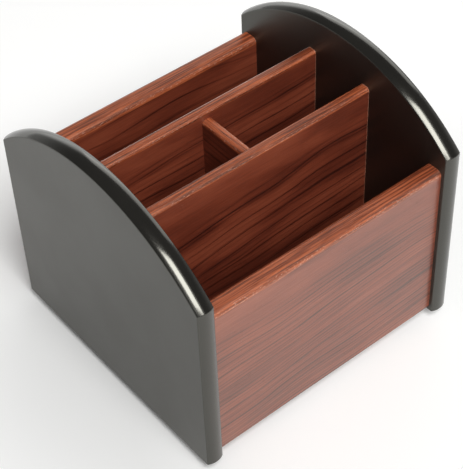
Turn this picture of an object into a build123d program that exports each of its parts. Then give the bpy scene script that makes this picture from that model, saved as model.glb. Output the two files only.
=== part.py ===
import os

from build123d import *

os.makedirs("parts", exist_ok=True)

# All lengths are in millimetres, +Z is up and the desk is at height 0.
# The origin is on the desk, on the axis the body turns about. The front faces -Y.

# Arched end panels. Depth and height run to the arrises; the edge's crown stands out past them.
body_depth = 150.0
body_inner_width = 139.0
end_thickness = 9.3
end_side_height = 105.5
end_arch_rise = 30.0
end_edge_crown = 1.4
end_arris_radius = 0.6
end_skirt = 13.0

# Front and back boards. Heights of the upright boards are above the end panels' undersides.
board_thickness = 10.0
board_setback = 2.0
board_bottom_height = 2.5
board_top_height = 97.0
board_top_rounding = 3.0

# Dividers, the partition between them and the floor board.
divider_thickness = 6.0
divider_offset = 19.25
divider_top_height = 116.5
divider_top_rounding = 2.0
partition_top_drop = 4.5
floor_thickness = 6.0

# Wooden dowels. Seat depths are in the board that the dowel crosses into from an end face.
board_dowel_diameter = 6.0
board_dowel_length = 20.0
board_dowel_seat = 6.0
thin_dowel_diameter = 3.0
thin_dowel_length = 14.0
thin_dowel_seat = 5.0
partition_dowel_length = 11.0
partition_dowel_seat = 3.5
dowel_clearance = 0.05
dowel_end_gap = 0.5
dowel_chamfer = 0.4
dowel_height_shares = (0.2, 0.8)
floor_dowel_spacing_share = 0.5

# Ball bearing of the swivel: two pressed plates held together by an eyelet. The corner margin is
# from the base's rim to the corners that the plates would have without their rounding.
plate_corner_margin = 5.26
plate_corner_radius = 6.0
plate_sheet = 1.2
plate_screw_inset = 6.5
plate_hub_radius = 17.0
plate_hub_step = 1.6
ball_diameter = 6.35
ball_count = 16
ball_clearance = 0.03
race_depth = 0.4
cage_width = 10.0
cage_thickness = 1.2
cage_clearance = 0.08
eyelet_radius = 10.0
eyelet_wall = 0.9
eyelet_flange_width = 3.0
eyelet_clearance = 0.05

# Pan-head wood screws in the floor board, countersunk machine screws through the base.
screw_clearance = 0.05
wood_screw_diameter = 3.0
wood_screw_bite = 4.3
wood_screw_head_diameter = 5.5
wood_screw_head_height = 1.8
wood_screw_head_rounding = 0.8
machine_screw_diameter = 4.0
machine_screw_head_diameter = 7.5
machine_screw_sink = 0.2
machine_screw_proud = 0.6
recess_length = 3.0
recess_width = 0.8
recess_depth = 1.0

# Round base and its rubber feet.
base_thickness = 9.0
base_side_gap = 4.0
base_arris_radius = 1.0
foot_diameter = 14.0
foot_thickness = 2.0
foot_inset = 12.0
foot_count = 4
foot_arris_radius = 0.4

# Heights of the stack from the desk up.
base_bottom = foot_thickness
base_top = base_bottom + base_thickness
plate_gap = ball_diameter + 2 * ball_clearance - 2 * race_depth
lower_sheet_top = base_top + plate_sheet
ball_height = lower_sheet_top + plate_gap / 2
upper_sheet_bottom = lower_sheet_top + plate_gap
floor_bottom = upper_sheet_bottom + plate_sheet
floor_middle = floor_bottom + floor_thickness / 2
floor_top = floor_bottom + floor_thickness
body_bottom = floor_bottom - end_skirt
board_bottom = body_bottom + board_bottom_height
board_top = body_bottom + board_top_height
divider_top = body_bottom + divider_top_height
partition_top = divider_top - partition_top_drop

# Positions across the body.
half_depth = body_depth / 2
end_inner_x = body_inner_width / 2
end_middle_x = end_inner_x + end_thickness / 2
end_outer_x = end_inner_x + end_thickness
arch_radius = (half_depth**2 + end_arch_rise**2) / (2 * end_arch_rise)
arch_centre_z = body_bottom + end_side_height + end_arch_rise - arch_radius
board_middle_y = half_depth - board_setback - board_thickness / 2
board_inner_y = half_depth - board_setback - board_thickness
divider_inner_y = divider_offset - divider_thickness / 2
base_radius = min(board_inner_y, end_inner_x) - base_side_gap
foot_circle_radius = base_radius - foot_inset
plate_side = (base_radius - plate_corner_margin) * 2**0.5
plate_screw_spacing = plate_side - 2 * plate_screw_inset
ball_circle_radius = (plate_hub_radius + plate_side / 2) / 2

# Dowel centres: (y, z) on the end panels' inner faces, (x, z) on the dividers' inner faces.
board_dowel_heights = [board_bottom + share * (board_top - board_bottom) for share in dowel_height_shares]
divider_dowel_heights = [floor_top + share * (divider_top - floor_top) for share in dowel_height_shares]
partition_dowel_heights = [floor_top + share * (partition_top - floor_top) for share in dowel_height_shares]
floor_dowel_y = floor_dowel_spacing_share * board_inner_y
board_dowel_points = [(y, z) for y in (-board_middle_y, board_middle_y) for z in board_dowel_heights]
divider_dowel_points = [(y, z) for y in (-divider_offset, divider_offset) for z in divider_dowel_heights]
floor_dowel_points = [(-floor_dowel_y, floor_middle), (floor_dowel_y, floor_middle)]
partition_dowel_points = [(0, z) for z in partition_dowel_heights]
board_dowel_hole = board_dowel_diameter / 2 + dowel_clearance
thin_dowel_hole = thin_dowel_diameter / 2 + dowel_clearance
board_dowel_bore = board_dowel_length - board_dowel_seat + dowel_end_gap
thin_dowel_bore = thin_dowel_length - thin_dowel_seat + dowel_end_gap
partition_dowel_bore = partition_dowel_length - partition_dowel_seat + dowel_end_gap

# Form of the arch: a crowned disc, with a block below its centre for the panel's straight sides.
with BuildPart() as arch_form:
    with BuildSketch(Plane.XZ):
        with BuildLine():
            Polyline(
                (end_inner_x, arch_centre_z + arch_radius),
                (end_inner_x, arch_centre_z),
                (end_outer_x, arch_centre_z),
                (end_outer_x, arch_centre_z + arch_radius),
            )
            ThreePointArc(
                (end_outer_x, arch_centre_z + arch_radius),
                (end_middle_x, arch_centre_z + arch_radius + end_edge_crown),
                (end_inner_x, arch_centre_z + arch_radius),
            )
        make_face()
    revolve(axis=Axis((0, 0, arch_centre_z), (1, 0, 0)))
    with BuildSketch(Plane.XY.offset(arch_centre_z)):
        with Locations((end_middle_x, 0)):
            Rectangle(end_thickness, body_depth + 2 * end_edge_crown)
    extrude(amount=-end_side_height)

# Right end panel: a board with crowned front and back edges, cut to the arch and softened all round.
with BuildPart() as right_end_panel:
    with BuildSketch(Plane.XY.offset(body_bottom)):
        with BuildLine():
            Line((end_outer_x, -half_depth), (end_outer_x, half_depth))
            ThreePointArc(
                (end_outer_x, half_depth),
                (end_middle_x, half_depth + end_edge_crown),
                (end_inner_x, half_depth),
            )
            Line((end_inner_x, half_depth), (end_inner_x, -half_depth))
            ThreePointArc(
                (end_inner_x, -half_depth),
                (end_middle_x, -half_depth - end_edge_crown),
                (end_outer_x, -half_depth),
            )
        make_face()
    extrude(amount=end_side_height + end_arch_rise + 2 * end_edge_crown)
    add(arch_form.part, mode=Mode.INTERSECT)
    bottom_edges = right_end_panel.edges().group_by(Axis.Z)[0]
    fillet(right_end_panel.edges() - bottom_edges, radius=end_arris_radius)
    with BuildSketch(Plane.YZ.offset(end_inner_x)):
        with Locations(*board_dowel_points):
            Circle(board_dowel_hole)
    extrude(amount=board_dowel_seat + dowel_end_gap, mode=Mode.SUBTRACT)
    with BuildSketch(Plane.YZ.offset(end_inner_x)):
        with Locations(*divider_dowel_points, *floor_dowel_points):
            Circle(thin_dowel_hole)
    extrude(amount=thin_dowel_seat + dowel_end_gap, mode=Mode.SUBTRACT)
right_end_panel.part.label = "right_end_panel"
export_step(right_end_panel.part, "parts/right_end_panel.step")

# Left end panel: the right one's mirror image.
with BuildPart() as left_end_panel:
    mirror(right_end_panel.part, about=Plane.YZ)
left_end_panel.part.label = "left_end_panel"
export_step(left_end_panel.part, "parts/left_end_panel.step")

# Front board: rounded top arrises, end faces drilled for the dowels.
with BuildPart() as front_board:
    with BuildSketch(Plane.YZ) as front_board_section:
        with Locations((-board_middle_y, board_bottom)):
            Rectangle(board_thickness, board_top - board_bottom, align=(Align.CENTER, Align.MIN))
        fillet(front_board_section.vertices().group_by(Axis.Y)[-1], radius=board_top_rounding)
    extrude(amount=end_inner_x, both=True)
    with BuildSketch(Plane.YZ.offset(end_inner_x), Plane.YZ.offset(-end_inner_x)):
        with Locations(*board_dowel_points):
            Circle(board_dowel_hole)
    extrude(amount=board_dowel_bore, both=True, mode=Mode.SUBTRACT)
front_board.part.label = "front_board"
export_step(front_board.part, "parts/front_board.step")

# Back board: the front board's mirror image.
with BuildPart() as back_board:
    mirror(front_board.part, about=Plane.XZ)
back_board.part.label = "back_board"
export_step(back_board.part, "parts/back_board.step")

# Front divider: stands on the floor board, drilled at its ends and on the side facing the partition.
with BuildPart() as front_divider:
    with BuildSketch(Plane.YZ) as front_divider_section:
        with Locations((-divider_offset, floor_top)):
            Rectangle(divider_thickness, divider_top - floor_top, align=(Align.CENTER, Align.MIN))
        fillet(front_divider_section.vertices().group_by(Axis.Y)[-1], radius=divider_top_rounding)
    extrude(amount=end_inner_x, both=True)
    with BuildSketch(Plane.YZ.offset(end_inner_x), Plane.YZ.offset(-end_inner_x)):
        with Locations(*divider_dowel_points):
            Circle(thin_dowel_hole)
    extrude(amount=thin_dowel_bore, both=True, mode=Mode.SUBTRACT)
    with BuildSketch(Plane.XZ.offset(divider_inner_y)):
        with Locations(*partition_dowel_points):
            Circle(thin_dowel_hole)
    extrude(amount=partition_dowel_seat + dowel_end_gap, mode=Mode.SUBTRACT)
front_divider.part.label = "front_divider"
export_step(front_divider.part, "parts/front_divider.step")

# Rear divider: the front divider's mirror image.
with BuildPart() as rear_divider:
    mirror(front_divider.part, about=Plane.XZ)
rear_divider.part.label = "rear_divider"
export_step(rear_divider.part, "parts/rear_divider.step")

# Partition: parts the space between the dividers into two pen bays.
with BuildPart() as pen_partition:
    with BuildSketch(Plane.XZ) as pen_partition_section:
        with Locations((0, floor_top)):
            Rectangle(divider_thickness, partition_top - floor_top, align=(Align.CENTER, Align.MIN))
        fillet(pen_partition_section.vertices().group_by(Axis.Y)[-1], radius=divider_top_rounding)
    extrude(amount=divider_inner_y, both=True)
    with BuildSketch(Plane.XZ.offset(divider_inner_y), Plane.XZ.offset(-divider_inner_y)):
        with Locations(*partition_dowel_points):
            Circle(thin_dowel_hole)
    extrude(amount=partition_dowel_bore, both=True, mode=Mode.SUBTRACT)
pen_partition.part.label = "pen_partition"
export_step(pen_partition.part, "parts/pen_partition.step")

# Floor board: fills the body between the upright boards, drilled below for the upper plate's screws.
with BuildPart() as floor_board:
    with BuildSketch(Plane.XY.offset(floor_bottom)):
        Rectangle(body_inner_width, 2 * board_inner_y)
    extrude(amount=floor_thickness)
    with BuildSketch(Plane.YZ.offset(end_inner_x), Plane.YZ.offset(-end_inner_x)):
        with Locations(*floor_dowel_points):
            Circle(thin_dowel_hole)
    extrude(amount=thin_dowel_bore, both=True, mode=Mode.SUBTRACT)
    with BuildSketch(Plane.XY.offset(floor_bottom)):
        with GridLocations(plate_screw_spacing, plate_screw_spacing, 2, 2):
            Circle(wood_screw_diameter / 2 + screw_clearance)
    extrude(amount=wood_screw_bite + screw_clearance, mode=Mode.SUBTRACT)
floor_board.part.label = "floor_board"
export_step(floor_board.part, "parts/floor_board.step")

# Dowels of the front and back boards.
board_dowel_x = end_inner_x + board_dowel_seat - board_dowel_length / 2
with BuildPart() as board_dowels:
    with Locations(*[(x, y, z) for x in (-board_dowel_x, board_dowel_x) for y, z in board_dowel_points]):
        Cylinder(board_dowel_diameter / 2, board_dowel_length, rotation=(0, 90, 0))
    chamfer(board_dowels.edges().filter_by(GeomType.CIRCLE), length=dowel_chamfer)
board_dowels.part.label = "board_dowels"
export_step(board_dowels.part, "parts/board_dowels.step")

# Dowels of the two dividers.
thin_dowel_x = end_inner_x + thin_dowel_seat - thin_dowel_length / 2
with BuildPart() as divider_dowels:
    with Locations(*[(x, y, z) for x in (-thin_dowel_x, thin_dowel_x) for y, z in divider_dowel_points]):
        Cylinder(thin_dowel_diameter / 2, thin_dowel_length, rotation=(0, 90, 0))
    chamfer(divider_dowels.edges().filter_by(GeomType.CIRCLE), length=dowel_chamfer)
divider_dowels.part.label = "divider_dowels"
export_step(divider_dowels.part, "parts/divider_dowels.step")

# Dowels of the floor board.
with BuildPart() as floor_dowels:
    with Locations(*[(x, y, z) for x in (-thin_dowel_x, thin_dowel_x) for y, z in floor_dowel_points]):
        Cylinder(thin_dowel_diameter / 2, thin_dowel_length, rotation=(0, 90, 0))
    chamfer(floor_dowels.edges().filter_by(GeomType.CIRCLE), length=dowel_chamfer)
floor_dowels.part.label = "floor_dowels"
export_step(floor_dowels.part, "parts/floor_dowels.step")

# Dowels of the partition.
partition_dowel_y = divider_inner_y + partition_dowel_seat - partition_dowel_length / 2
partition_dowel_rows = (-partition_dowel_y, partition_dowel_y)
partition_dowel_centres = [(x, y, z) for y in partition_dowel_rows for x, z in partition_dowel_points]
with BuildPart() as partition_dowels:
    with Locations(*partition_dowel_centres):
        Cylinder(thin_dowel_diameter / 2, partition_dowel_length, rotation=(90, 0, 0))
    chamfer(partition_dowels.edges().filter_by(GeomType.CIRCLE), length=dowel_chamfer)
partition_dowels.part.label = "partition_dowels"
export_step(partition_dowels.part, "parts/partition_dowels.step")

# Lower bearing plate: square sheet, ball race coined in its upper side, hub pressed up around the eyelet.
lower_hub_bottom = base_top + plate_hub_step
with BuildPart() as lower_bearing_plate:
    with BuildSketch(Plane.XY.offset(base_top)):
        RectangleRounded(plate_side, plate_side, plate_corner_radius)
    extrude(amount=plate_sheet)
    with Locations((0, 0, base_top)):
        Cylinder(
            plate_hub_radius,
            plate_hub_step + plate_sheet,
            align=(Align.CENTER, Align.CENTER, Align.MIN),
        )
        Cylinder(
            plate_hub_radius - plate_sheet,
            plate_hub_step,
            align=(Align.CENTER, Align.CENTER, Align.MIN),
            mode=Mode.SUBTRACT,
        )
        Cylinder(
            eyelet_radius + eyelet_clearance,
            plate_hub_step + plate_sheet,
            align=(Align.CENTER, Align.CENTER, Align.MIN),
            mode=Mode.SUBTRACT,
        )
    with Locations((0, 0, ball_height)):
        Torus(ball_circle_radius, ball_diameter / 2 + ball_clearance, mode=Mode.SUBTRACT)
    with BuildSketch(Plane.XY.offset(base_top)):
        with GridLocations(plate_screw_spacing, plate_screw_spacing, 2, 2):
            Circle(machine_screw_diameter / 2 + screw_clearance)
    extrude(amount=plate_sheet, mode=Mode.SUBTRACT)
lower_bearing_plate.part.label = "lower_bearing_plate"
export_step(lower_bearing_plate.part, "parts/lower_bearing_plate.step")

# Upper bearing plate: the same pressing turned over, with holes for the wood screws.
upper_hub_top = floor_bottom - plate_hub_step
with BuildPart() as upper_bearing_plate:
    with BuildSketch(Plane.XY.offset(upper_sheet_bottom)):
        RectangleRounded(plate_side, plate_side, plate_corner_radius)
    extrude(amount=plate_sheet)
    with Locations((0, 0, floor_bottom)):
        Cylinder(
            plate_hub_radius,
            plate_hub_step + plate_sheet,
            align=(Align.CENTER, Align.CENTER, Align.MAX),
        )
        Cylinder(
            plate_hub_radius - plate_sheet,
            plate_hub_step,
            align=(Align.CENTER, Align.CENTER, Align.MAX),
            mode=Mode.SUBTRACT,
        )
        Cylinder(
            eyelet_radius + eyelet_clearance,
            plate_hub_step + plate_sheet,
            align=(Align.CENTER, Align.CENTER, Align.MAX),
            mode=Mode.SUBTRACT,
        )
    with Locations((0, 0, ball_height)):
        Torus(ball_circle_radius, ball_diameter / 2 + ball_clearance, mode=Mode.SUBTRACT)
    with BuildSketch(Plane.XY.offset(upper_sheet_bottom)):
        with GridLocations(plate_screw_spacing, plate_screw_spacing, 2, 2):
            Circle(wood_screw_diameter / 2 + screw_clearance)
    extrude(amount=plate_sheet, mode=Mode.SUBTRACT)
upper_bearing_plate.part.label = "upper_bearing_plate"
export_step(upper_bearing_plate.part, "parts/upper_bearing_plate.step")

# Bearing eyelet: hollow rivet, tight under the lower hub and running on top of the upper one.
eyelet_bore_radius = eyelet_radius - eyelet_wall
eyelet_flange_radius = eyelet_radius + eyelet_flange_width
with BuildPart() as bearing_eyelet:
    with BuildSketch(Plane.XZ):
        with BuildLine():
            Polyline(
                (eyelet_bore_radius, lower_hub_bottom - eyelet_wall),
                (eyelet_flange_radius, lower_hub_bottom - eyelet_wall),
                (eyelet_flange_radius, lower_hub_bottom),
                (eyelet_radius, lower_hub_bottom),
                (eyelet_radius, upper_hub_top + eyelet_clearance),
                (eyelet_flange_radius, upper_hub_top + eyelet_clearance),
                (eyelet_flange_radius, upper_hub_top + eyelet_clearance + eyelet_wall),
                (eyelet_bore_radius, upper_hub_top + eyelet_clearance + eyelet_wall),
                close=True,
            )
        make_face()
    revolve(axis=Axis.Z)
bearing_eyelet.part.label = "bearing_eyelet"
export_step(bearing_eyelet.part, "parts/bearing_eyelet.step")

# Bearing balls, evenly spaced round the race.
with BuildPart() as bearing_balls:
    with Locations((0, 0, ball_height)):
        with PolarLocations(ball_circle_radius, ball_count):
            Sphere(ball_diameter / 2)
bearing_balls.part.label = "bearing_balls"
export_step(bearing_balls.part, "parts/bearing_balls.step")

# Ball cage: flat ring with a pocket for each ball.
with BuildPart() as ball_cage:
    with BuildSketch(Plane.XY.offset(ball_height - cage_thickness / 2)):
        Circle(ball_circle_radius + cage_width / 2)
        Circle(ball_circle_radius - cage_width / 2, mode=Mode.SUBTRACT)
        with PolarLocations(ball_circle_radius, ball_count):
            Circle(ball_diameter / 2 + cage_clearance, mode=Mode.SUBTRACT)
    extrude(amount=cage_thickness)
ball_cage.part.label = "ball_cage"
export_step(ball_cage.part, "parts/ball_cage.step")

# Upper plate screws: pan heads below the plate, shanks up in the floor board.
wood_screw_head_bottom = upper_sheet_bottom - wood_screw_head_height
with BuildPart() as upper_plate_screws:
    with Locations((0, 0, wood_screw_head_bottom)):
        with GridLocations(plate_screw_spacing, plate_screw_spacing, 2, 2):
            Cylinder(
                wood_screw_head_diameter / 2,
                wood_screw_head_height,
                align=(Align.CENTER, Align.CENTER, Align.MIN),
            )
    fillet(
        upper_plate_screws.edges().filter_by(GeomType.CIRCLE).group_by(Axis.Z)[0],
        radius=wood_screw_head_rounding,
    )
    with Locations((0, 0, wood_screw_head_bottom)):
        with GridLocations(plate_screw_spacing, plate_screw_spacing, 2, 2):
            Cylinder(
                wood_screw_diameter / 2,
                wood_screw_head_height + plate_sheet + wood_screw_bite,
                align=(Align.CENTER, Align.CENTER, Align.MIN),
            )
    with BuildSketch(Plane.XY.offset(wood_screw_head_bottom)):
        with GridLocations(plate_screw_spacing, plate_screw_spacing, 2, 2):
            Rectangle(recess_length, recess_width)
            Rectangle(recess_width, recess_length)
    extrude(amount=recess_depth, mode=Mode.SUBTRACT)
upper_plate_screws.part.label = "upper_plate_screws"
export_step(upper_plate_screws.part, "parts/upper_plate_screws.step")

# Lower plate screws: countersunk in the base's underside, threaded into the lower plate.
machine_screw_radius = machine_screw_diameter / 2
machine_screw_head_radius = machine_screw_head_diameter / 2
machine_screw_bottom = base_bottom + machine_screw_sink
with BuildPart() as lower_plate_screws:
    with Locations((0, 0, machine_screw_bottom)):
        with GridLocations(plate_screw_spacing, plate_screw_spacing, 2, 2):
            Cone(
                machine_screw_head_radius,
                machine_screw_radius,
                machine_screw_head_radius - machine_screw_radius,
                align=(Align.CENTER, Align.CENTER, Align.MIN),
            )
            Cylinder(
                machine_screw_radius,
                lower_sheet_top + machine_screw_proud - machine_screw_bottom,
                align=(Align.CENTER, Align.CENTER, Align.MIN),
            )
    with BuildSketch(Plane.XY.offset(machine_screw_bottom)):
        with GridLocations(plate_screw_spacing, plate_screw_spacing, 2, 2):
            Rectangle(recess_length, recess_width)
            Rectangle(recess_width, recess_length)
    extrude(amount=recess_depth, mode=Mode.SUBTRACT)
lower_plate_screws.part.label = "lower_plate_screws"
export_step(lower_plate_screws.part, "parts/lower_plate_screws.step")

# Base disc: softened arrises, countersunk holes on its underside for the lower plate's screws.
screw_hole_radius = machine_screw_radius + screw_clearance
countersink_radius = machine_screw_head_radius + machine_screw_sink + screw_clearance
with BuildPart() as base_disc:
    with BuildSketch(Plane.XY.offset(base_bottom)):
        Circle(base_radius)
    extrude(amount=base_thickness)
    fillet(base_disc.edges().filter_by(GeomType.CIRCLE), radius=base_arris_radius)
    with Locations((0, 0, base_bottom)):
        with GridLocations(plate_screw_spacing, plate_screw_spacing, 2, 2):
            Cylinder(
                screw_hole_radius,
                base_thickness,
                align=(Align.CENTER, Align.CENTER, Align.MIN),
                mode=Mode.SUBTRACT,
            )
            Cone(
                countersink_radius,
                screw_hole_radius,
                countersink_radius - screw_hole_radius,
                align=(Align.CENTER, Align.CENTER, Align.MIN),
                mode=Mode.SUBTRACT,
            )
base_disc.part.label = "base_disc"
export_step(base_disc.part, "parts/base_disc.step")

# Foot pads, midway between the screws, with softened lower rims.
with BuildPart() as foot_pads:
    with PolarLocations(foot_circle_radius, foot_count):
        Cylinder(foot_diameter / 2, foot_thickness, align=(Align.CENTER, Align.CENTER, Align.MIN))
    fillet(foot_pads.edges().filter_by(GeomType.CIRCLE).group_by(Axis.Z)[0], radius=foot_arris_radius)
foot_pads.part.label = "foot_pads"
export_step(foot_pads.part, "parts/foot_pads.step")
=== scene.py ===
import math

import bpy
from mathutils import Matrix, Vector


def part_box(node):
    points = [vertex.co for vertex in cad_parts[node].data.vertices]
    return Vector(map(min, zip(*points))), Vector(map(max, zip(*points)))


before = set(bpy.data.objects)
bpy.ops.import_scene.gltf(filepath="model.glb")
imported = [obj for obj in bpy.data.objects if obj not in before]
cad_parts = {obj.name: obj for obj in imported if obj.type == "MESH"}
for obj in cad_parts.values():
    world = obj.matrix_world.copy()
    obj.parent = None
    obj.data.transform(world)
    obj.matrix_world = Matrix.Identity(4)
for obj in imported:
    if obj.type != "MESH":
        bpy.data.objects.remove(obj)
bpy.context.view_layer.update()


# Foot pads: four round pads of black rubber under the base.
# They are cut from sheet and stuck on, with a fine dull grain and patches of dust.
MM = 1000.0
SEED_SPREAD = (1.0, 1.7, 2.3)
RUBBER_GRAIN = (0.35, 0.35, 0.35)
DUST_PATCH = (2.5, 2.5, 1.0)
RUBBER_SHADES = [(0.45, (0.011, 0.011, 0.011)), (0.75, (0.045, 0.043, 0.041))]
RUBBER_ROUGHNESS = (0.72, 0.92)


def new_finish(name):
    """A material with its node tree and its main shader."""
    material = bpy.data.materials.new(name)
    material.use_nodes = True
    tree = material.node_tree
    return material, tree, tree.nodes["Principled BSDF"]


def put(tree, kind, sockets, **settings):
    """Adds a node with its settings, and links or sets its sockets."""
    made = tree.nodes.new("ShaderNode" + kind)
    for key, value in settings.items():
        setattr(made, key, value)
    for key, value in sockets.items():
        if isinstance(value, bpy.types.NodeSocket):
            tree.links.new(value, made.inputs[key])
        else:
            made.inputs[key].default_value = value
    return made


def calc(tree, operation, first, second=0.0, third=0.0):
    """One step of arithmetic on a value."""
    return put(tree, "Math", {0: first, 1: second, 2: third}, operation=operation).outputs[0]


def fade(tree, value, low, high, start=0.0, end=1.0):
    """A value taken smoothly from start to end as it goes from low to high."""
    sockets = {0: value, 1: low, 2: high, 3: start, 4: end}
    return put(tree, "MapRange", sockets, interpolation_type="SMOOTHSTEP").outputs[0]


def ramp(tree, value, stops):
    """A colour picked along stops of (place, colour)."""
    made = put(tree, "ValToRGB", {0: value})
    band = made.color_ramp.elements
    while len(band) < len(stops):
        band.new(0.5)
    for element, (place, colour) in zip(band, stops):
        element.position = place
        element.color = (*colour, 1.0)
    return made.outputs[0]


def in_millimetres(tree):
    """The place on the object, in millimetres."""
    here = put(tree, "TexCoord", {}).outputs["Object"]
    return put(tree, "VectorMath", {0: here, "Scale": MM}, operation="SCALE").outputs[0]


def mottle(tree, place, grain, seed, detail=2.0, roughness=0.5):
    """Soft noise whose cells are as large as grain, in millimetres along each axis."""
    shares = [1.0 / size for size in grain]
    shift = [seed * spread for spread in SEED_SPREAD]
    stretched = put(tree, "VectorMath", {0: place, 1: shares}, operation="MULTIPLY").outputs[0]
    moved = put(tree, "VectorMath", {0: stretched, 1: shift}, operation="ADD").outputs[0]
    sockets = {"Vector": moved, "Scale": 1.0, "Detail": detail, "Roughness": roughness}
    return put(tree, "TexNoise", sockets).outputs[0]


def relief(tree, skin, height, strength, depth):
    """Raises and sinks the surface by a height, over a depth in millimetres."""
    bump = put(tree, "Bump", {"Strength": strength, "Distance": depth / MM, "Height": height})
    tree.links.new(bump.outputs[0], skin.inputs["Normal"])


def dress(node, finish):
    """Gives a node of the frame its finish."""
    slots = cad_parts[node].data.materials
    slots.clear()
    slots.append(finish)


rubber, tree, skin = new_finish("black_rubber_sheet")
place = in_millimetres(tree)
grain = mottle(tree, place, RUBBER_GRAIN, seed=3.1, detail=3.0)
dust = mottle(tree, place, DUST_PATCH, seed=8.4, detail=4.0, roughness=0.65)
tree.links.new(ramp(tree, dust, RUBBER_SHADES), skin.inputs["Base Color"])
tree.links.new(fade(tree, grain, 0.3, 0.7, *RUBBER_ROUGHNESS), skin.inputs["Roughness"])
relief(tree, skin, grain, strength=0.8, depth=0.06)
dress("foot_pads", rubber)


# Base disc: a round of fibreboard, turned and sprayed black like the end panels.
# It stays still on the desk and carries the swivel, screwed up from below.
EDGE_GLOSS = 0.14
FACE_SATIN = 0.4
SATIN_FADE = 0.25
CLOUD_DULLING = (-0.02, 0.02)
TOOTH_DULLING = 0.03
TOOTH_HEIGHT = 0.16
NIB_HEIGHT = 0.9
LACQUER_SHADES = [(0.3, (0.0052, 0.0047, 0.0042)), (0.7, (0.0085, 0.0074, 0.0064))]
LACQUER_IOR = 1.73
LACQUER_TINT = (1.0, 0.985, 0.875, 1.0)
SPRAY_CLOUD = (34.0, 34.0, 34.0)
ORANGE_PEEL = (2.6, 2.6, 2.6)
SANDED_TOOTH = (0.45, 0.45, 0.45)
NIB = (0.7, 0.7, 0.7)


def spray_black(node, across, seed, satin_depth):
    """Satin black sprayed over sanded board, with faint orange peel, fine nibs and a slight brown cast.

    The flat faces lie across the named axis and are satin down to a depth in millimetres.
    The rounded edges past that are rubbed glossier."""
    lacquer, tree, skin = new_finish(node + "_lacquer")
    place = in_millimetres(tree)
    low, high = (corner["XYZ".index(across)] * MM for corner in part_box(node))
    flat_from = (high - low) / 2 - satin_depth
    level = put(tree, "SeparateXYZ", {0: place}).outputs[across]
    off_middle = calc(tree, "ABSOLUTE", calc(tree, "SUBTRACT", level, (low + high) / 2))
    face = fade(tree, off_middle, flat_from, flat_from + SATIN_FADE)
    cloud = mottle(tree, place, SPRAY_CLOUD, seed, detail=3.0)
    peel = mottle(tree, place, ORANGE_PEEL, seed + 5.0, detail=1.0)
    tooth = mottle(tree, place, SANDED_TOOTH, seed + 9.0)
    spots = fade(tree, mottle(tree, place, NIB, seed + 14.0, detail=0.0), 0.79, 0.86)
    tree.links.new(ramp(tree, cloud, LACQUER_SHADES), skin.inputs["Base Color"])
    gloss = calc(tree, "MULTIPLY_ADD", face, FACE_SATIN - EDGE_GLOSS, EDGE_GLOSS)
    gloss = calc(tree, "ADD", gloss, fade(tree, cloud, 0.3, 0.7, *CLOUD_DULLING))
    gloss = calc(tree, "MULTIPLY_ADD", fade(tree, tooth, 0.35, 0.65), TOOTH_DULLING, gloss)
    tree.links.new(gloss, skin.inputs["Roughness"])
    skin.inputs["IOR"].default_value = LACQUER_IOR
    skin.inputs["Specular Tint"].default_value = LACQUER_TINT
    height = calc(tree, "MULTIPLY_ADD", tooth, TOOTH_HEIGHT, peel)
    height = calc(tree, "MULTIPLY_ADD", spots, NIB_HEIGHT, height)
    relief(tree, skin, height, strength=0.5, depth=0.01)
    dress(node, lacquer)


spray_black("base_disc", across="Z", seed=21.0, satin_depth=0.3)


# Swivel bearing: two square plates pressed from zinc-plated sheet, with an eyelet that holds them.
# Cross-slotted screws of the same plated steel fix them to the base and to the floor board.
ROLLED_MARKS = (18.0, 0.25, 18.0)
ZINC_BLOOM = (9.0, 9.0, 9.0)
ROLLED_SHARE = 0.3
ZINC_SHADES = [(0.4, (0.36, 0.36, 0.35)), (0.65, (0.56, 0.56, 0.55)), (0.85, (0.68, 0.68, 0.66))]
ZINC_ROUGHNESS = (0.5, 0.3)
zinc, tree, skin = new_finish("zinc_plated_sheet")
place = in_millimetres(tree)
rolled = mottle(tree, place, ROLLED_MARKS, seed=2.0, detail=3.0)
bloom = mottle(tree, place, ZINC_BLOOM, seed=6.0, detail=4.0, roughness=0.6)
tarnish = calc(tree, "MULTIPLY_ADD", rolled, ROLLED_SHARE, bloom)
tree.links.new(ramp(tree, tarnish, ZINC_SHADES), skin.inputs["Base Color"])
skin.inputs["Metallic"].default_value = 1.0
tree.links.new(fade(tree, tarnish, 0.4, 0.9, *ZINC_ROUGHNESS), skin.inputs["Roughness"])
relief(tree, skin, rolled, strength=0.4, depth=0.01)
PLATED = ("lower_bearing_plate", "upper_bearing_plate", "bearing_eyelet")
PLATED_SCREWS = ("lower_plate_screws", "upper_plate_screws")
for name in PLATED + PLATED_SCREWS:
    dress(name, zinc)


# Bearing balls: ground and polished steel, with a film of grease from the race.
# They roll between the plates, so they turn at half the speed of the body above.
GREASE_PATCH = (2.2, 2.2, 2.2)
BALL_SHADES = [(0.35, (0.62, 0.62, 0.63)), (0.7, (0.5, 0.47, 0.41))]
BALL_ROUGHNESS = (0.08, 0.26)
ball_steel, tree, skin = new_finish("greased_ball_steel")
film = mottle(tree, in_millimetres(tree), GREASE_PATCH, seed=12.0, detail=3.0)
tree.links.new(ramp(tree, film, BALL_SHADES), skin.inputs["Base Color"])
skin.inputs["Metallic"].default_value = 1.0
tree.links.new(fade(tree, film, 0.35, 0.7, *BALL_ROUGHNESS), skin.inputs["Roughness"])
dress("bearing_balls", ball_steel)


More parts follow.
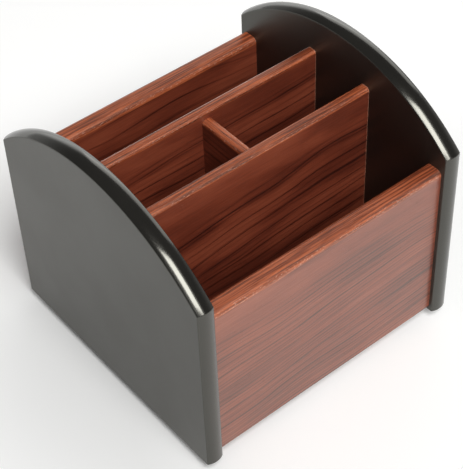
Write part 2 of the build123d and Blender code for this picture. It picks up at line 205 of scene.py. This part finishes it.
# Ball cage: a flat ring moulded in natural nylon that spaces the balls round the race.
# It is a milky off-white, dulled by the mould and stained where grease has crept in.
GREASE_STAIN = (7.0, 7.0, 7.0)
MOULD_TOOTH = (0.3, 0.3, 0.3)
NYLON_SHADES = [(0.4, (0.74, 0.71, 0.62)), (0.75, (0.58, 0.51, 0.38))]
NYLON_ROUGHNESS = (0.42, 0.55)
NYLON_MILKINESS = 0.15
MILKY_DEPTH = 1.0
nylon, tree, skin = new_finish("natural_nylon")
place = in_millimetres(tree)
stain = mottle(tree, place, GREASE_STAIN, seed=17.0, detail=4.0)
tooth = mottle(tree, place, MOULD_TOOTH, seed=19.0)
tree.links.new(ramp(tree, stain, NYLON_SHADES), skin.inputs["Base Color"])
skin.inputs["Subsurface Weight"].default_value = NYLON_MILKINESS
skin.inputs["Subsurface Scale"].default_value = MILKY_DEPTH / MM
tree.links.new(fade(tree, tooth, 0.3, 0.7, *NYLON_ROUGHNESS), skin.inputs["Roughness"])
relief(tree, skin, tooth, strength=0.4, depth=0.02)
dress("ball_cage", nylon)


# Boards: front, back, two dividers, the partition and the floor, all fibreboard in a wood-grain foil.
# The rounded top edges are coloured a lighter orange than the faces, with pale flecks along the rounding
# that are painted glints, and the dividers' cut ends show as a pale, slightly chipped line.
# On the rear divider a thin pale line along the back of the top edge is a painted highlight.
BOARD_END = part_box("front_board")[1].x * MM
WOOD_SHADES = [
    (0.0, (0.325, 0.08, 0.038)),
    (0.3, (0.225, 0.0465, 0.0215)),
    (0.55, (0.135, 0.025, 0.012)),
    (0.8, (0.052, 0.0085, 0.0045)),
    (1.0, (0.028, 0.005, 0.0034)),
]
STRIP_SHADES = [(0.36, (0.47, 0.119, 0.0445)), (0.5, (0.275, 0.057, 0.0185)), (0.64, (0.095, 0.016, 0.0053))]
GLINT_PALE = (0.72, 0.45, 0.35, 1.0)
PAINTED_HIGHLIGHT_PALE = (0.86, 0.76, 0.7, 1.0)
CUT_PALE = (0.55, 0.27, 0.18, 1.0)
FOIL_IOR = 1.76
FOIL_TINT = (1.0, 0.93, 0.79, 1.0)
FOIL_ROUGHNESS = (0.33, 0.43)
PORE_ROUGHNESS = 0.15
VARNISH_ROUGHNESS = 0.3
LINE_CORE = 0.12
LINE_EDGE = 0.5
SHOULDER_SHARE = 0.18
FAINTEST_LINE = 0.35
FINE_LINES = 2.3
SLOWEST_RATE = 0.3
FOIL_LAYER = 11.0
DRIFT_CELL = (105.0, 46.0, 1.0)
DRIFT = 1.6
RIPPLE_CELL = (42.0, 14.0, 1.0)
RIPPLE = 0.32
COME_AND_GO_CELL = (80.0, 11.0, 1.0)
FIGURE_CELL = (66.0, 17.0, 1.0)
CHIP_CELL = (1.2, 1.2, 1.6)
STREAK_CELL = (48.0, 0.9)
FIBRE_CELL = (13.0, 0.4)
PORE_CELL = (4.0, 0.24)
FLECK_CELL = (1.5, 0.5)
FIGURE_DEPTH = 0.4
STREAK_DEPTH = 0.42
FIBRE_DEPTH = 0.55
PORE_DEPTH = 0.1
STRIP_FIBRE = 0.6
FIBRE_HEIGHT = 0.45
PORE_HEIGHT = -1.0
LINE_HEIGHT = -0.3


def growth_lines(tree, phase, rate, seed):
    """Thin dark lines with a soft shoulder, one to each step of the phase, each as strong as it likes.

    The rate is the steps to a millimetre, so that every line is as thin as the next."""
    part = calc(tree, "FRACT", phase)
    off_line = calc(tree, "DIVIDE", calc(tree, "ABSOLUTE", calc(tree, "SUBTRACT", part, 0.5)), rate)
    core = fade(tree, off_line, LINE_CORE, LINE_EDGE, 1.0, 0.0)
    shoulder = calc(tree, "MULTIPLY", fade(tree, part, 0.3, 0.5), fade(tree, part, 0.5, 0.98, 1.0, 0.0))
    index = calc(tree, "ADD", calc(tree, "FLOOR", phase), seed)
    own = put(tree, "TexWhiteNoise", {"W": index}, noise_dimensions="1D").outputs[0]
    core = calc(tree, "MULTIPLY", core, 1.0 - SHOULDER_SHARE)
    line = calc(tree, "MULTIPLY_ADD", shoulder, SHOULDER_SHARE, core)
    return calc(tree, "MULTIPLY", line, fade(tree, own, 0.0, 1.0, start=FAINTEST_LINE, end=1.0))


def lengthwise(along, length, width):
    """The cell of a grain that is long along one axis."""
    return [length if axis == along else width for axis in "XYZ"]


def centred(tree, noise):
    """Noise that goes as far below nought as above it."""
    return calc(tree, "SUBTRACT", noise, 0.5)


def cover(tree, under, over, share):
    """One shade laid over another, by a share."""
    return put(tree, "Mix", {0: share, 6: under, 7: over}, data_type="RGBA").outputs[2]


def wrap_in_foil(
    node, seed, along="X", across="Z", first=14.0, gap=9.0, crowd=1.0, slant=0.0, waves=9.0,
    bold=0.5, fine_share=0.32, clouds=0.7, deep=0.3, varnish=0.0,
    rounding=None, glint=0.3, highlight_line=None, pale_ends=0.4
):
    """Red-brown satin foil: growth lines that wave along the board, soft figure, fine streaks and pores.

    The lines start at a distance below the top, a gap apart, and crowd together further down."""
    foil, tree, skin = new_finish(node + "_foil")
    place = in_millimetres(tree)
    axes = put(tree, "SeparateXYZ", {0: place})
    run = axes.outputs[along]
    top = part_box(node)[1]["XYZ".index(across)] * MM
    below = calc(tree, "SUBTRACT", top, axes.outputs[across])
    flat = put(tree, "CombineXYZ", {0: run, 1: below, 2: FOIL_LAYER * seed}).outputs[0]

    drift = centred(tree, mottle(tree, flat, DRIFT_CELL, seed, detail=1.0))
    ripple = centred(tree, mottle(tree, flat, RIPPLE_CELL, seed + 3.0, detail=1.0))
    bent = calc(tree, "MULTIPLY_ADD", run, slant, below)
    bent = calc(tree, "MULTIPLY_ADD", drift, DRIFT * waves, bent)
    bent = calc(tree, "MULTIPLY_ADD", ripple, RIPPLE * waves, bent)
    steps = calc(tree, "MAXIMUM", calc(tree, "DIVIDE", calc(tree, "SUBTRACT", bent, first), gap), 0.0)
    phase = calc(tree, "POWER", steps, crowd)
    rate = calc(tree, "MULTIPLY", calc(tree, "POWER", steps, crowd - 1.0), crowd / gap)
    rate = calc(tree, "MAXIMUM", rate, SLOWEST_RATE / gap)
    lines = growth_lines(tree, phase, rate, seed)
    come_and_go = mottle(tree, flat, COME_AND_GO_CELL, seed + 6.0)
    lines = calc(tree, "MULTIPLY", lines, fade(tree, come_and_go, 0.35, 0.6, start=0.6, end=1.0))
    fine_phase = calc(tree, "MULTIPLY", phase, FINE_LINES)
    fine_rate = calc(tree, "MULTIPLY", rate, FINE_LINES)
    fine = growth_lines(tree, fine_phase, fine_rate, seed + 40.0)

    figure = fade(tree, mottle(tree, flat, FIGURE_CELL, seed + 9.0, detail=3.0), 0.32, 0.68, -0.5, 0.5)
    streak = mottle(tree, place, lengthwise(along, *STREAK_CELL), seed + 12.0, detail=3.0, roughness=0.6)
    fibre = mottle(tree, place, lengthwise(along, *FIBRE_CELL), seed + 15.0, detail=3.0, roughness=0.65)
    pores = mottle(tree, place, lengthwise(along, *PORE_CELL), seed + 18.0, detail=1.0)
    pores = fade(tree, pores, 0.62, 0.72)

    depth = calc(tree, "MULTIPLY_ADD", lines, bold, deep)
    depth = calc(tree, "MULTIPLY_ADD", fine, fine_share * bold, depth)
    depth = calc(tree, "MULTIPLY_ADD", figure, FIGURE_DEPTH * clouds, depth)
    depth = calc(tree, "MULTIPLY_ADD", centred(tree, streak), STREAK_DEPTH, depth)
    depth = calc(tree, "MULTIPLY_ADD", centred(tree, fibre), FIBRE_DEPTH, depth)
    depth = calc(tree, "MULTIPLY_ADD", pores, PORE_DEPTH, depth)
    shade = ramp(tree, depth, WOOD_SHADES)
    if rounding is not None:
        banding = calc(tree, "MULTIPLY_ADD", centred(tree, fibre), STRIP_FIBRE, streak)
        rim = fade(tree, below, 1.05 * rounding, 1.2 * rounding, 1.0, 0.0)
        shade = cover(tree, shade, ramp(tree, banding, STRIP_SHADES), rim)
        flecks = mottle(tree, place, lengthwise(along, *FLECK_CELL), seed + 24.0)
        flecks = fade(tree, flecks, 0.54, 0.7)
        # Painted highlight: a thin pale line along the back of the rounded top edge.
        if highlight_line is not None:
            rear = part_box(node)[1].y * MM - highlight_line
            rim_highlight = calc(
                tree,
                "MULTIPLY",
                fade(tree, axes.outputs["Y"], rear, rear + 0.3),
                fade(tree, below, 0.4 * rounding, 0.5 * rounding, 1.0, 0.0),
            )
            rim_highlight = calc(tree, "MULTIPLY", rim_highlight, fade(tree, flecks, 0.0, 1.0, start=0.65, end=0.95))
            shade = cover(tree, shade, PAINTED_HIGHLIGHT_PALE, rim_highlight)
        # Painted glints: pale flecks along the rounding stand for light caught by the embossed foil.
        glints = calc(
            tree,
            "MULTIPLY",
            fade(tree, below, 0.12 * rounding, 0.4 * rounding),
            fade(tree, below, 0.7 * rounding, 0.95 * rounding, 1.0, 0.0),
        )
        glints = calc(tree, "MULTIPLY", calc(tree, "MULTIPLY", glints, flecks), glint)
        shade = cover(tree, shade, GLINT_PALE, glints)
    chips = mottle(tree, place, CHIP_CELL, seed + 21.0, detail=3.0)
    cut = calc(tree, "ADD", calc(tree, "ABSOLUTE", run), centred(tree, chips))
    cut = fade(tree, cut, BOARD_END - 0.5, BOARD_END - 0.15, start=0.0, end=pale_ends)
    tree.links.new(cover(tree, shade, CUT_PALE, cut), skin.inputs["Base Color"])

    gloss = fade(tree, streak, 0.25, 0.75, *FOIL_ROUGHNESS)
    gloss = calc(tree, "MULTIPLY_ADD", pores, PORE_ROUGHNESS, gloss)
    tree.links.new(gloss, skin.inputs["Roughness"])
    skin.inputs["IOR"].default_value = FOIL_IOR
    skin.inputs["Specular Tint"].default_value = FOIL_TINT
    skin.inputs["Coat Weight"].default_value = varnish
    skin.inputs["Coat Roughness"].default_value = VARNISH_ROUGHNESS
    height = calc(tree, "MULTIPLY_ADD", pores, PORE_HEIGHT, calc(tree, "MULTIPLY", fibre, FIBRE_HEIGHT))
    height = calc(tree, "MULTIPLY_ADD", lines, LINE_HEIGHT, height)
    relief(tree, skin, height, strength=0.6, depth=0.06)
    dress(node, foil)


wrap_in_foil(
    "front_board", seed=4.0, first=17.0, gap=6.2, crowd=1.08, bold=0.52, fine_share=0.75, clouds=0.75,
    deep=0.27, varnish=0.42, rounding=3.0, glint=0.55, pale_ends=0.05
)
wrap_in_foil(
    "back_board", seed=27.0, first=1.0, gap=9.0, slant=-0.03, waves=14.0, bold=0.66, rounding=3.0, glint=0.5,
    pale_ends=0.05
)
wrap_in_foil(
    "front_divider", seed=13.0, first=17.0, gap=14.0, crowd=1.33, slant=0.057, bold=0.85, clouds=0.9,
    deep=0.32, rounding=2.0
)
wrap_in_foil(
    "rear_divider", seed=35.0, first=10.0, gap=10.0, crowd=1.15, slant=0.03, bold=0.66, clouds=0.8,
    deep=0.34, rounding=2.0, highlight_line=1.15
)
# The partition's foil is made darker (deep) as painted shade, for the shade it stands in between the
# dividers.
wrap_in_foil("pen_partition", seed=46.0, along="Y", first=0.0, gap=7.0, bold=0.7, deep=0.58, rounding=2.0)
wrap_in_foil("floor_board", seed=58.0, across="Y", first=0.0, gap=9.0)


# Dowels: beech pins, cut from rod and glued where the boards meet the end panels and each other.
# They are pale and dry, with short brown flecks along the grain.
BEECH_SHADES = [(0.3, (0.66, 0.45, 0.27)), (0.7, (0.52, 0.33, 0.18))]
BEECH_FLECK = (0.3, 0.16, 0.08, 1.0)
BEECH_STREAK_CELL = (9.0, 0.5)
BEECH_FLECK_CELL = (1.6, 0.22)
BEECH_ROUGHNESS = (0.6, 0.75)


def beech(name, along):
    """Pale beech with flecks that run along the pin."""
    material, tree, skin = new_finish(name)
    place = in_millimetres(tree)
    streak = mottle(tree, place, lengthwise(along, *BEECH_STREAK_CELL), seed=31.0, detail=3.0)
    flecks = mottle(tree, place, lengthwise(along, *BEECH_FLECK_CELL), seed=33.0)
    flecks = fade(tree, flecks, 0.62, 0.72)
    shade = cover(tree, ramp(tree, streak, BEECH_SHADES), BEECH_FLECK, flecks)
    tree.links.new(shade, skin.inputs["Base Color"])
    tree.links.new(fade(tree, streak, 0.3, 0.7, *BEECH_ROUGHNESS), skin.inputs["Roughness"])
    relief(tree, skin, streak, strength=0.5, depth=0.04)
    return material


beech_across = beech("beech_dowel_across", "X")
beech_deep = beech("beech_dowel_deep", "Y")
for name in ("board_dowels", "divider_dowels", "floor_dowels"):
    dress(name, beech_across)
dress("partition_dowels", beech_deep)


# End panels: two arched boards with crowned edges, sprayed satin black all over.
# The boards are butted and dowelled to their inner faces.
spray_black("left_end_panel", across="X", seed=5.0, satin_depth=0.35)
spray_black("right_end_panel", across="X", seed=52.0, satin_depth=0.35)


# Studio floor: a wide matt white sheet, with the holder's soft shadow on it, cast by the lamps and deepened
# by painted shadow.
# The camera and the gloss on the holder see it near white, and it throws light back up on the holder.
# What they see glows less close round the holder (painted shadow) and more to the front right (painted pool
# of light), so the holder's gloss shows this painted shade and light in its reflections.
SHEET_SIDE = 8.0
SHEET_LIT = (0.8, 0.795, 0.78, 1.0)
SHEET_SHOWN = (0.855, 0.854, 0.845, 1.0)
SHEET_GLOW = (1.0, 1.0, 0.99, 1.0)
TO_FRONT_RIGHT = (0.55, -0.83, 0.0)
bpy.ops.mesh.primitive_plane_add(size=SHEET_SIDE, location=(0.0, 0.0, 0.0))
floor = bpy.context.object
floor.name = "studio_floor"
white_sheet = bpy.data.materials.new("white_sheet")
white_sheet.use_nodes = True
tree = white_sheet.node_tree
tree.nodes.clear()
ray = put(tree, "LightPath", {})
seen = calc(tree, "MAXIMUM", ray.outputs["Is Camera Ray"], ray.outputs["Is Glossy Ray"])
seen = calc(tree, "MAXIMUM", seen, ray.outputs["Is Transmission Ray"])
on_floor = put(tree, "TexCoord", {}).outputs["Object"]
side = put(tree, "VectorMath", {0: on_floor, 1: TO_FRONT_RIGHT}, operation="DOT_PRODUCT").outputs["Value"]
away = put(tree, "VectorMath", {0: on_floor}, operation="LENGTH").outputs["Value"]
# Painted pool of light: the glow grows toward the front right.
painted_pool_front_right = fade(tree, side, -0.04, 0.07, start=0.0, end=0.16)
# Painted shadow round the holder: the glow starts only some way out from it.
glow_past_painted_shadow = fade(tree, away, 0.08, 0.24, start=0.0, end=0.27)
glow_far = fade(tree, away, 0.6, 2.6, start=0.0, end=0.65)
strength = calc(tree, "ADD", calc(tree, "MAXIMUM", painted_pool_front_right, glow_past_painted_shadow), glow_far)
glow = put(tree, "Emission", {"Color": SHEET_GLOW, "Strength": strength})
lit = put(tree, "BsdfDiffuse", {"Color": SHEET_LIT})
shown = put(tree, "BsdfDiffuse", {"Color": SHEET_SHOWN})
bright = put(tree, "AddShader", {0: shown.outputs[0], 1: glow.outputs[0]})
sheet = put(tree, "MixShader", {0: seen, 1: lit.outputs[0], 2: bright.outputs[0]})
put(tree, "OutputMaterial", {"Surface": sheet.outputs[0]})
floor.data.materials.append(white_sheet)


# Studio walls: pale round the horizon, most of all in a patch behind on the right, and dim overhead.
# The camera sees them white.
WALL_SHADES = [(0.0, (0.62, 0.62, 0.62)), (1.0, (0.2, 0.2, 0.2))]
TO_BRIGHT_PATCH = (0.68, 0.733, 0.0)
world = bpy.data.worlds.new("studio_walls")
bpy.context.scene.world = world
world.use_nodes = True
tree = world.node_tree
tree.nodes.clear()
ray = put(tree, "LightPath", {})
toward = put(tree, "TexCoord", {}).outputs["Generated"]
rise = put(tree, "SeparateXYZ", {0: toward}).outputs["Z"]
wall = ramp(tree, fade(tree, rise, 0.08, 0.55), WALL_SHADES)
patch = put(tree, "VectorMath", {0: toward, 1: TO_BRIGHT_PATCH}, operation="DOT_PRODUCT").outputs["Value"]
level = fade(tree, patch, 0.86, 0.97, start=0.78, end=2.4)
room = put(tree, "Background", {"Color": wall, "Strength": level})
white = put(tree, "Background", {"Color": (1.0, 1.0, 1.0, 1.0), "Strength": 1.0})
walls = put(tree, "MixShader", {0: ray.outputs["Is Camera Ray"], 1: room.outputs[0], 2: white.outputs[0]})
put(tree, "OutputWorld", {"Surface": walls.outputs[0]})


# Lamps: a softbox in front and above, a little to the left, with a brighter middle,
# and a fill panel behind on the right. Sizes are in metres.
LAMP_AIM = Vector((0.0, 0.0, 0.08))


def softbox(name, toward, distance, width, height, radiance):
    """An area lamp that faces the holder, of the given brightness."""
    lamp = bpy.data.lights.new(name, "AREA")
    lamp.shape = "RECTANGLE"
    lamp.size = width
    lamp.size_y = height
    lamp.energy = radiance * math.pi * width * height
    stand = bpy.data.objects.new(name, lamp)
    bpy.context.scene.collection.objects.link(stand)
    aim = Vector(toward).normalized()
    stand.location = LAMP_AIM + aim * distance
    stand.rotation_mode = "QUATERNION"
    stand.rotation_quaternion = aim.to_track_quat("Z", "Y")


softbox("key_softbox", (-0.16, -0.57, 0.8), distance=2.2, width=1.5, height=1.5, radiance=1.2)
softbox("key_core", (-0.16, -0.55, 0.82), distance=2.15, width=0.88, height=1.2, radiance=11.0)
softbox("fill_panel", (0.8, 0.42, 0.43), distance=2.2, width=1.9, height=1.0, radiance=1.4)


# Camera: at the photograph's height and angle, with its lens.
# The lens is worked out for a frame of 463 by 469 pixels.
PIXELS_HIGH = 469.0
FOCAL_PIXELS = 1454.15
SENSOR = 36.0
CAMERA_PLACE = (-0.313434, -0.407403, 0.573608)
CAMERA_TURN = (44.5373, 1.7855, -39.3155)
lens = bpy.data.cameras.new("photo_camera")
lens.sensor_width = SENSOR
lens.lens = FOCAL_PIXELS * SENSOR / PIXELS_HIGH
camera = bpy.data.objects.new("photo_camera", lens)
bpy.context.scene.collection.objects.link(camera)
camera.location = CAMERA_PLACE
camera.rotation_euler = [math.radians(turn) for turn in CAMERA_TURN]
bpy.context.scene.camera = camera
bpy.context.scene.view_settings.view_transform = "Standard"
